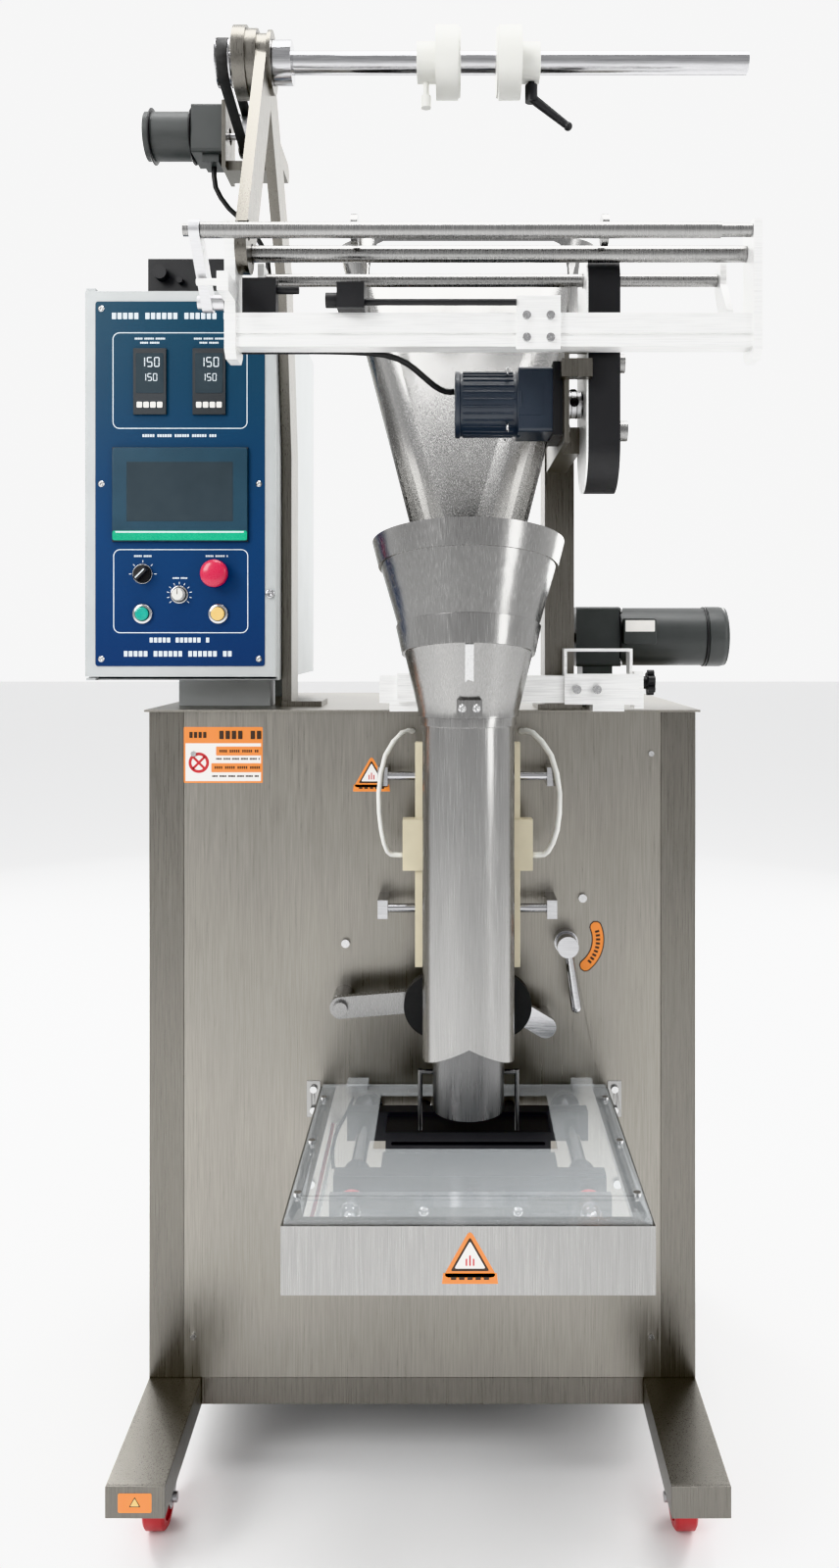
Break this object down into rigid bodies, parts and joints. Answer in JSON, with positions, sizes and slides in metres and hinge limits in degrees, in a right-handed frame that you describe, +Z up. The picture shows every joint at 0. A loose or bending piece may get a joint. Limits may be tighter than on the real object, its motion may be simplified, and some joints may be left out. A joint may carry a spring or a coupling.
{
  "type": "vertical form fill sealer",
  "caption": "Free-standing machine on casters that forms a bag from a film roll round a tube, fills it from a hopper, seals it and cuts it off.",
  "frame": {"origin": "on the floor, under the middle of the whole machine's box", "axes": "+X to the operator's right, +Y to the back, +Z up"},
  "size_m": [0.953, 1.012, 2.014],
  "materials": {
    "steel_frame": "brushed",
    "steel_sheet": "brushed",
    "steel_bright": "satin",
    "steel_turned": "turned",
    "zinc": "zinc plated",
    "chrome": "polished",
    "aluminium_white": "anodised",
    "aluminium": "satin",
    "motor_grey": "satin",
    "motor_slate": "satin",
    "black_metal": "satin",
    "black_plastic": "moulded",
    "box_grey": "powder coated",
    "red_wheel": "polyurethane",
    "red_paint": "gloss",
    "white_nylon": "machined",
    "cream": "satin",
    "dark_jaw": "coated",
    "rubber_black": "moulded",
    "clear": "clear acrylic",
    "red_button": "gloss",
    "green": "gloss",
    "yellow": "gloss",
    "instrument": "moulded",
    "electrics": "moulded",
    "lead_white": "fibreglass sleeve",
    "screw": "plain"
  },
  "bodies": {
    "machine": {"cabinet_frame": "steel_frame", "front_panel": "steel_sheet", "cabinet_panels": "steel_sheet", "rear_caster_forks": "zinc", "filling_chute": "steel_bright", "forming_collar": "steel_bright", "forming_tube": "steel_bright", "tube_mount": "aluminium_white", "guide_brackets": "chrome", "guard_box": "steel_bright", "guard_cover": "clear", "gearmotors": "motor_grey", "mast": "steel_frame", "drive_belts": "rubber_black", "roller_frame": "aluminium_white", "film_motor": "motor_slate", "belt_cover": "black_metal", "film_sensors": "black_plastic", "control_box": "box_grey", "counter_unit": "black_plastic", "control_internals": "electrics", "wiring": "lead_white", "screws": "screw"},
    "swivel_left": {"caster_fork_left": "zinc"},
    "pedal_left": {"brake_pedal_left": "red_paint"},
    "wheel_fl": {"caster_wheel_fl": "red_wheel"},
    "wheel_rl": {"caster_wheel_rl": "red_wheel"},
    "swivel_right": {"caster_fork_right": "zinc"},
    "pedal_right": {"brake_pedal_right": "red_paint"},
    "wheel_fr": {"caster_wheel_fr": "red_wheel"},
    "wheel_rr": {"caster_wheel_rr": "red_wheel"},
    "tube_knob": {"tube_knob": "black_plastic"},
    "front_jaw": {"front_jaw": "dark_jaw"},
    "rear_jaw": {"rear_jaw": "dark_jaw"},
    "cutter_knife": {"cutter_knife": "chrome"},
    "seal_jaw_left": {"seal_jaw_left": "cream"},
    "seal_jaw_right": {"seal_jaw_right": "cream"},
    "swing_arm": {"swing_arm": "steel_turned"},
    "release_handle": {"release_handle": "chrome"},
    "pull_roller_left": {"pull_roller_left": "rubber_black"},
    "pull_roller_right": {"pull_roller_right": "rubber_black"},
    "seal_crank": {"seal_crank": "steel_turned"},
    "roll_shaft": {"roll_shaft": "chrome"},
    "core_left": {"core_holder_left": "white_nylon"},
    "core_right": {"core_holder_right": "white_nylon"},
    "core_lever": {"core_clamp_lever": "black_plastic"},
    "unwind_pulley": {"unwind_pulley": "aluminium"},
    "roller_upper": {"roller_upper": "steel_turned"},
    "roller_lower": {"roller_lower": "steel_turned"},
    "drive_roller": {"drive_roller": "steel_turned"},
    "film_pulley": {"film_pulley": "aluminium"},
    "dancer_arm": {"dancer_arm": "aluminium"},
    "dancer_roller": {"dancer_roller": "steel_turned"},
    "control_door": {"control_door": "box_grey", "door_instruments": "instrument"},
    "e_stop": {"e_stop": "red_button"},
    "mode_switch": {"mode_switch": "black_plastic"},
    "speed_knob": {"speed_knob": "white_nylon"},
    "green_button": {"green_button": "green"},
    "yellow_button": {"yellow_button": "yellow"}
  },
  "joints": [
    {"name": "swivel_left_turn", "type": "hinge", "parent": "machine", "child": "swivel_left", "pos_m": [-0.3405, -0.222, 0.09], "axis": [0, 0, 1], "continuous": true},
    {"name": "wheel_fl_spin", "type": "hinge", "parent": "swivel_left", "child": "wheel_fl", "pos_m": [-0.3405, -0.198, 0.0375], "axis": [1, 0, 0], "continuous": true},
    {"name": "brake_left_press", "type": "hinge", "parent": "swivel_left", "child": "pedal_left", "pos_m": [-0.3405, -0.166, 0.08], "axis": [-1, 0, 0], "range_deg": [0, 12]},
    {"name": "wheel_rl_spin", "type": "hinge", "parent": "machine", "child": "wheel_rl", "pos_m": [-0.3405, 0.43, 0.0375], "axis": [1, 0, 0], "continuous": true},
    {"name": "swivel_right_turn", "type": "hinge", "parent": "machine", "child": "swivel_right", "pos_m": [0.3695, -0.222, 0.09], "axis": [0, 0, 1], "continuous": true},
    {"name": "wheel_fr_spin", "type": "hinge", "parent": "swivel_right", "child": "wheel_fr", "pos_m": [0.3695, -0.198, 0.0375], "axis": [1, 0, 0], "continuous": true},
    {"name": "brake_right_press", "type": "hinge", "parent": "swivel_right", "child": "pedal_right", "pos_m": [0.3695, -0.166, 0.08], "axis": [-1, 0, 0], "range_deg": [0, 12]},
    {"name": "wheel_rr_spin", "type": "hinge", "parent": "machine", "child": "wheel_rr", "pos_m": [0.3695, 0.43, 0.0375], "axis": [1, 0, 0], "continuous": true},
    {"name": "tube_knob_turn", "type": "hinge", "parent": "machine", "child": "tube_knob", "pos_m": [0.3275, -0.127, 1.14], "axis": [1, 0, 0], "continuous": true},
    {"name": "front_jaw_slide", "type": "slide", "parent": "machine", "child": "front_jaw", "axis": [0, 1, 0], "range_m": [0, 0.0295]},
    {"name": "rear_jaw_slide", "type": "slide", "parent": "machine", "child": "rear_jaw", "axis": [0, -1, 0], "range_m": [0, 0.0295]},
    {"name": "knife_slide", "type": "slide", "parent": "front_jaw", "child": "cutter_knife", "axis": [0, 1, 0], "range_m": [0, 0.012]},
    {"name": "seal_left_slide", "type": "slide", "parent": "machine", "child": "seal_jaw_left", "axis": [1, 0, 0], "range_m": [0, 0.006]},
    {"name": "seal_right_slide", "type": "slide", "parent": "machine", "child": "seal_jaw_right", "axis": [-1, 0, 0], "range_m": [0, 0.006]},
    {"name": "swing_arm_release", "type": "hinge", "parent": "machine", "child": "swing_arm", "pos_m": [-0.0975, -0.154, 0.69], "axis": [0, 1, 0], "range_deg": [0, 8]},
    {"name": "release_handle_turn", "type": "hinge", "parent": "machine", "child": "release_handle", "pos_m": [0.2195, -0.134, 0.77], "axis": [0, -1, 0], "range_deg": [0, 60]},
    {"name": "pull_left_spin", "type": "hinge", "parent": "swing_arm", "child": "pull_roller_left", "pos_m": [0.0348, -0.174, 0.701], "axis": [0, 1, 0], "continuous": true},
    {"name": "pull_right_spin", "type": "hinge", "parent": "machine", "child": "pull_roller_right", "pos_m": [0.1222, -0.174, 0.701], "axis": [0, 1, 0], "continuous": true},
    {"name": "seal_crank_turn", "type": "hinge", "parent": "machine", "child": "seal_crank", "pos_m": [0.2445, 0.024, 1.205], "axis": [1, 0, 0], "continuous": true},
    {"name": "roll_shaft_turn", "type": "hinge", "parent": "machine", "child": "roll_shaft", "pos_m": [0.0145, -0.23, 1.968], "axis": [1, 0, 0], "continuous": true},
    {"name": "core_left_slide", "type": "slide", "parent": "roll_shaft", "child": "core_left", "axis": [1, 0, 0], "range_m": [-0.14, 0.02]},
    {"name": "core_right_slide", "type": "slide", "parent": "roll_shaft", "child": "core_right", "axis": [1, 0, 0], "range_m": [-0.02, 0.25]},
    {"name": "core_lever_turn", "type": "hinge", "parent": "core_right", "child": "core_lever", "pos_m": [0.1625, -0.23, 1.93], "axis": [0, 0, 1], "range_deg": [-60, 60]},
    {"name": "unwind_pulley_turn", "type": "hinge", "parent": "machine", "child": "unwind_pulley", "pos_m": [-0.2315, -0.064, 1.94], "axis": [1, 0, 0], "continuous": true},
    {"name": "roller_upper_spin", "type": "hinge", "parent": "machine", "child": "roller_upper", "pos_m": [0.0145, -0.401, 1.687], "axis": [1, 0, 0], "continuous": true},
    {"name": "roller_lower_spin", "type": "hinge", "parent": "machine", "child": "roller_lower", "pos_m": [0.0145, -0.372, 1.668], "axis": [1, 0, 0], "continuous": true},
    {"name": "drive_roller_spin", "type": "hinge", "parent": "machine", "child": "drive_roller", "pos_m": [0.0145, -0.325, 1.65], "axis": [1, 0, 0], "continuous": true},
    {"name": "film_pulley_turn", "type": "hinge", "parent": "machine", "child": "film_pulley", "pos_m": [0.2145, -0.312, 1.497], "axis": [1, 0, 0], "continuous": true},
    {"name": "dancer_swing", "type": "hinge", "parent": "machine", "child": "dancer_arm", "pos_m": [-0.2115, -0.404, 1.6], "axis": [-1, 0, 0], "range_deg": [0, 25]},
    {"name": "dancer_roller_spin", "type": "hinge", "parent": "dancer_arm", "child": "dancer_roller", "pos_m": [0.0145, -0.474, 1.662], "axis": [1, 0, 0], "continuous": true},
    {"name": "door_swing", "type": "hinge", "parent": "machine", "child": "control_door", "pos_m": [-0.4705, -0.074, 1.4], "axis": [0, 0, -1], "range_deg": [0, 110]},
    {"name": "e_stop_press", "type": "slide", "parent": "control_door", "child": "e_stop", "axis": [0, 1, 0], "range_m": [0, 0.004]},
    {"name": "mode_switch_turn", "type": "hinge", "parent": "control_door", "child": "mode_switch", "pos_m": [-0.392, -0.089, 1.296], "axis": [0, 1, 0], "range_deg": [0, 90]},
    {"name": "speed_knob_turn", "type": "hinge", "parent": "control_door", "child": "speed_knob", "pos_m": [-0.339, -0.089, 1.266], "axis": [0, 1, 0], "range_deg": [-135, 135]},
    {"name": "green_button_press", "type": "slide", "parent": "control_door", "child": "green_button", "axis": [0, 1, 0], "range_m": [0, 0.003], "stiffness_N_per_m": 600, "springref_m": -0.002},
    {"name": "yellow_button_press", "type": "slide", "parent": "control_door", "child": "yellow_button", "axis": [0, 1, 0], "range_m": [0, 0.003], "stiffness_N_per_m": 600, "springref_m": -0.002}
  ],
  "couplings": [
    {"joint": "rear_jaw_slide", "follows": "front_jaw_slide", "ratio": 1},
    {"joint": "seal_right_slide", "follows": "seal_left_slide", "ratio": 1},
    {"joint": "swing_arm_release", "follows": "release_handle_turn", "ratio": 0.13333},
    {"joint": "pull_left_spin", "follows": "pull_right_spin", "ratio": -1},
    {"joint": "unwind_pulley_turn", "follows": "roll_shaft_turn", "ratio": 1},
    {"joint": "film_pulley_turn", "follows": "drive_roller_spin", "ratio": 1}
  ]
}
